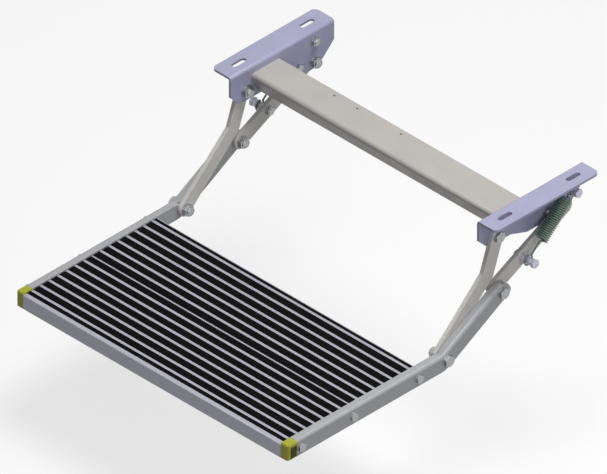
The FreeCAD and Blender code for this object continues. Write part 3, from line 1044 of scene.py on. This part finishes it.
@dataclass
class Welds:
    """Rippled beads that hold the cross beam to the brackets, under its top sheet."""

    radius: float = 2.2 * MM
    ripple: float = 0.12
    ripple_length: float = 1.6 * MM
    ripple_steps: int = 4
    taper: float = 6.0
    tip: float = 0.3
    sides: int = 10
    stitch: float = 17.0 * MM
    inset: float = 6.0 * MM
    sheet: float = 3.0 * MM

    def build(self) -> None:
        """Builds two stitches at each end of the beam."""
        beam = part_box("cross_beam")
        z = beam[1].z - self.sheet
        made = Builder()
        for end in (beam[0].y, beam[1].y):
            for x in (beam[0].x + self.inset, beam[0].x + 2 * self.inset + self.stitch):
                count = int(self.stitch / self.ripple_length * self.ripple_steps)
                path, radii = [], []
                for i in range(count + 1):
                    share = i / count
                    path.append(Vector((x + self.stitch * share, end, z)))
                    wave = math.sin(share * self.stitch / self.ripple_length * 2 * math.pi)
                    fade = min(1.0, self.taper * min(share, 1 - share) + self.tip)
                    radii.append(self.radius * (1 + self.ripple * wave) * fade)
                made.tube(path, radii, self.sides)
        made.finish("beam_weld_beads", "frame", WELD_METAL, "frame_paint", smooth=60.0)


@dataclass
class CapRecessShade:
    """Dark ribbed panel in each end cap's recess, covering the recess's rim: painted shade that stands for
    the recess's shadow.
    """

    count: int = 6
    rib_share: float = 0.6
    height: float = 0.4 * MM
    proud: float = 0.1 * MM
    inset: float = 1.5 * MM
    depth: float = 1.2 * MM
    corner: float = 4.8 * MM
    bend: float = 5.1 * MM

    def build(self) -> None:
        """Builds the painted shade panels of both caps as one piece."""
        made = Builder()
        for node in ("left_end_cap", "right_end_cap"):
            low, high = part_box(node)
            side = 1 if high.y > 0 else -1
            face = side * max(abs(low.y), abs(high.y))
            x0, x1 = low.x + self.inset, high.x - self.corner - self.inset
            z0, z1 = low.z + self.inset, high.z - self.bend - self.inset
            panel = [(x0, z0), (x1, z0), (x1, z1), (x0, z1)]
            made.prism(panel, face - side * self.depth, face + side * self.proud)
            step = (z1 - z0) / self.count
            half = step * self.rib_share / 2
            for i in range(self.count):
                z = z0 + (i + 0.5) * step
                rib = [(x0, z - half), (x1, z - half), (x1, z + half), (x0, z + half)]
                made.prism(rib, face, face + side * self.height)
        # The panels' dark finish is painted shade.
        made.finish("end_cap_painted_shade", "tread", CAP_RECESS_SHADE, "cap_plastic")


@dataclass
class RiserWebs:
    """Inner webs of the side members' risers, which make a channel of each, open below."""

    rise: float = 13.0 * MM
    depth: float = 27.0 * MM
    sheet: float = 3.0 * MM
    overhang: float = 15.0 * MM
    corner: float = 8.0 * MM
    sweep: float = 45.0 * MM
    recess: float = 0.1 * MM
    edge: float = 0.35 * MM
    arc_steps: int = 6

    def build(self) -> None:
        """Builds the webs of both sides as one piece."""
        made = Builder()
        outline = self._outline()
        inner = spans("right_side_member")[0].inner + self.recess
        for side in (1, -1):
            made.prism(outline, side * inner, side * (inner + self.sheet))
        piece = made.finish("riser_inner_webs", "tread", SIDE_PAINT, "side_paint")
        EdgeBreak(self.edge).apply(piece)

    def _outline(self) -> Outline:
        """Side view of a web, from the deck's rear edge to the riser's end and back.

        Returns:
            Its corners as (x, z), with the round ones drawn as arcs.
        """
        pivots = [spans(name)[0].centre.xz for name in ("lower_pivot_bolts", "upper_pivot_bolts")]
        foot, reach = pivots[0], (pivots[1] - pivots[0]).length
        way = (pivots[1] - pivots[0]).normalized()
        up = Vector((way.y, -way.x))
        deck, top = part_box("rear_plank")[0].x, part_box("right_end_cap")[1].z
        end, under = reach + self.overhang, self.rise - self.sheet

        def at(along: float, height: float) -> Vector:
            """Point along the riser's axis and above it."""
            return foot + way * along + up * height

        def bend(drop: float) -> Vector:
            """Where the level part's edge meets the riser's, at a depth below the flange's top."""
            height = self.rise - drop
            return at((top - drop - foot.y - up.y * height) / way.y, height)

        hidden = self.sheet / 2
        return self._rounded([
            (Vector((deck, top - hidden)), 0.0),
            (bend(hidden), 0.0),
            (at(end - self.corner, self.rise - hidden), 0.0),
            (at(end - self.corner, under), 0.0),
            (at(end, under - self.corner), 0.0),
            (at(end, self.rise - self.depth), self.corner),
            (bend(self.depth), self.sweep),
            (Vector((deck, top - self.depth)), 0.0),
        ])

    def _rounded(self, corners: list[tuple[Vector, float]]) -> Outline:
        """Draws an outline's round corners as arcs.

        Args:
            corners: Each corner with its radius, or 0 where it is sharp.

        Returns:
            The outline's points.
        """
        points = []
        for i, (corner, radius) in enumerate(corners):
            if not radius:
                points.append(tuple(corner))
                continue
            back = (corners[i - 1][0] - corner).normalized()
            ahead = (corners[(i + 1) % len(corners)][0] - corner).normalized()
            half = back.angle(ahead) / 2
            centre = corner + (back + ahead).normalized() * radius / math.sin(half)
            start = corner + back * radius / math.tan(half) - centre
            stop = corner + ahead * radius / math.tan(half) - centre
            for step in range(self.arc_steps + 1):
                points.append(tuple(centre + start.lerp(stop, step / self.arc_steps).normalized() * radius))
        return points


@dataclass
class CadNodes:
    """The frame's own sub-parts: finishes, and edges broken as a deburred or moulded piece has them."""

    edges: dict[Finish, float] = field(default_factory=lambda: {
        BRACKET_PAINT: 0.4 * MM,
        FRAME_PAINT: 0.35 * MM,
        LINK_PAINT_PAINTED_LIGHT: 0.6 * MM,
        SIDE_PAINT: 0.35 * MM,
        DECK_ALUMINIUM: 0.3 * MM,
        CAP_PLASTIC: 0.4 * MM,
    })

    def build(self) -> None:
        """Gives every node its finish and breaks the edges of the larger ones."""
        for finish, nodes in NODE_FINISHES.items():
            material = finish.build()
            for name in nodes:
                node = frame["nodes"][name]
                node.data.materials.clear()
                node.data.materials.append(material)
                for face in node.data.polygons:
                    face.material_index = 0
                if finish in self.edges:
                    EdgeBreak(self.edges[finish]).apply(node)


@dataclass
class Studio:
    """Pale floor, soft lamps and the camera at the photograph's angle."""

    image: tuple[int, int] = (607, 474)
    pixels_per_metre: float = 682.8
    target: Point = (0.2122, 0.0, -0.1046)
    distance: float = 3.0
    floor_z: float = -0.40
    floor_size: float = 12.0
    floor_colour: Point = (0.3, 0.3, 0.3)
    seen_white: float = 1.0
    shadow_share: float = 0.9
    sky: float = 0.12
    floor_roughness: float = 0.9
    aim: Point = (0.2, 0.0, -0.1)
    lamps: tuple[tuple[str, Point, float, float], ...] = (
        ("top", (-0.1, 0.35, 2.6), 1.4, 60.0),
        ("right", (0.5, 2.4, 0.7), 1.6, 14.0),
        ("front", (2.6, 0.3, 0.5), 1.6, 1.5),
    )

    def build(self) -> None:
        """Builds the floor, the lamps, the world and the camera."""
        self._floor()
        for name, place, size, power in self.lamps:
            self._lamp(name, Vector(place), size, power)
        self._world()
        bpy.context.scene.view_settings.view_transform = "Standard"
        self._camera()

    def _floor(self) -> None:
        """Large floor under the step: white but for its soft shadow, and clear from below."""
        half = self.floor_size / 2
        mesh = bpy.data.meshes.new("floor")
        corners = [(-half, -half), (half, -half), (half, half), (-half, half)]
        mesh.from_pydata([(x, y, self.floor_z) for x, y in corners], [], [[0, 1, 2, 3]])
        material = bpy.data.materials.new("floor")
        material.use_nodes = True
        tree = material.node_tree
        shader = tree.nodes["Principled BSDF"]
        shader.inputs["Base Color"].default_value = (*self.floor_colour, 1.0)
        shader.inputs["Roughness"].default_value = self.floor_roughness
        shader.inputs["Specular IOR Level"].default_value = 0.0
        white = self.seen_white - self.shadow_share * self.floor_colour[0]
        glow = math_node(tree, "MULTIPLY", self._seen(tree), white)
        shader.inputs["Emission Color"].default_value = WHITE
        tree.links.new(glow, shader.inputs["Emission Strength"])
        under = tree.nodes.new("ShaderNodeMixShader")
        geometry = tree.nodes.new("ShaderNodeNewGeometry")
        clear = tree.nodes.new("ShaderNodeBsdfTransparent")
        tree.links.new(geometry.outputs["Backfacing"], under.inputs[0])
        tree.links.new(shader.outputs["BSDF"], under.inputs[1])
        tree.links.new(clear.outputs["BSDF"], under.inputs[2])
        tree.links.new(under.outputs["Shader"], tree.nodes["Material Output"].inputs["Surface"])
        mesh.materials.append(material)
        floor = bpy.data.objects.new("floor", mesh)
        bpy.context.scene.collection.objects.link(floor)

    def _world(self) -> None:
        """Even dim light from all round, white where the camera or a reflection sees it."""
        world = bpy.data.worlds.new("studio")
        world.use_nodes = True
        tree = world.node_tree
        background = tree.nodes["Background"]
        background.inputs["Color"].default_value = WHITE
        strength = math_node(tree, "MAXIMUM", self._seen(tree), self.sky)
        tree.links.new(strength, background.inputs["Strength"])
        bpy.context.scene.world = world

    @staticmethod
    def _seen(tree: Tree) -> Socket:
        """Tells the rays that show the background from those that light the step.

        Args:
            tree: The floor's or the world's nodes.

        Returns:
            1 where the camera, a reflection or clear glass sees the surface, and else 0.
        """
        rays = tree.nodes.new("ShaderNodeLightPath")
        seen = rays.outputs["Is Camera Ray"]
        for kind in ("Is Glossy Ray", "Is Transmission Ray"):
            seen = math_node(tree, "MAXIMUM", seen, rays.outputs[kind])
        return seen

    def _lamp(self, name: str, place: Vector, size: float, power: float) -> None:
        """Square area lamp that faces the step.

        Args:
            name: The lamp's name.
            place: Where it stands.
            size: Length of its side.
            power: Its power in watts.
        """
        lamp = bpy.data.lights.new(name, "AREA")
        lamp.size = size
        lamp.energy = power
        self._stand(name, lamp, place, Vector(self.aim) - place)

    def _camera(self) -> None:
        """Isometric camera that frames the step as the photograph does."""
        camera = bpy.data.cameras.new("camera")
        camera.type = "ORTHO"
        camera.ortho_scale = self.image[0] / self.pixels_per_metre
        camera.dof.use_dof = False
        back = Vector((1.0, 1.0, 1.0)).normalized()
        place = Vector(self.target) + back * self.distance
        bpy.context.scene.camera = self._stand("camera", camera, place, -back)

    @staticmethod
    def _stand(
        name: str, data: bpy.types.Camera | bpy.types.Light, place: Vector, way: Vector
    ) -> bpy.types.Object:
        """Stands a lamp or a camera in the scene.

        Args:
            name: The object's name.
            data: The lamp or the camera.
            place: Where it stands.
            way: Where it faces.

        Returns:
            The object.
        """
        made = bpy.data.objects.new(name, data)
        made.location = place
        made.rotation_mode = "QUATERNION"
        made.rotation_quaternion = way.to_track_quat("-Z", "Y")
        bpy.context.scene.collection.objects.link(made)
        return made


def main() -> None:
    """Builds the scene in order."""
    logging.basicConfig(level=logging.INFO, format="%(message)s")
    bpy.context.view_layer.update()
    for part in (CadNodes, Fasteners, Springs, GripStrips, PivotWashers, Welds, CapRecessShade, RiserWebs, Studio):
        part().build()


if __name__ == "__main__":
    main()
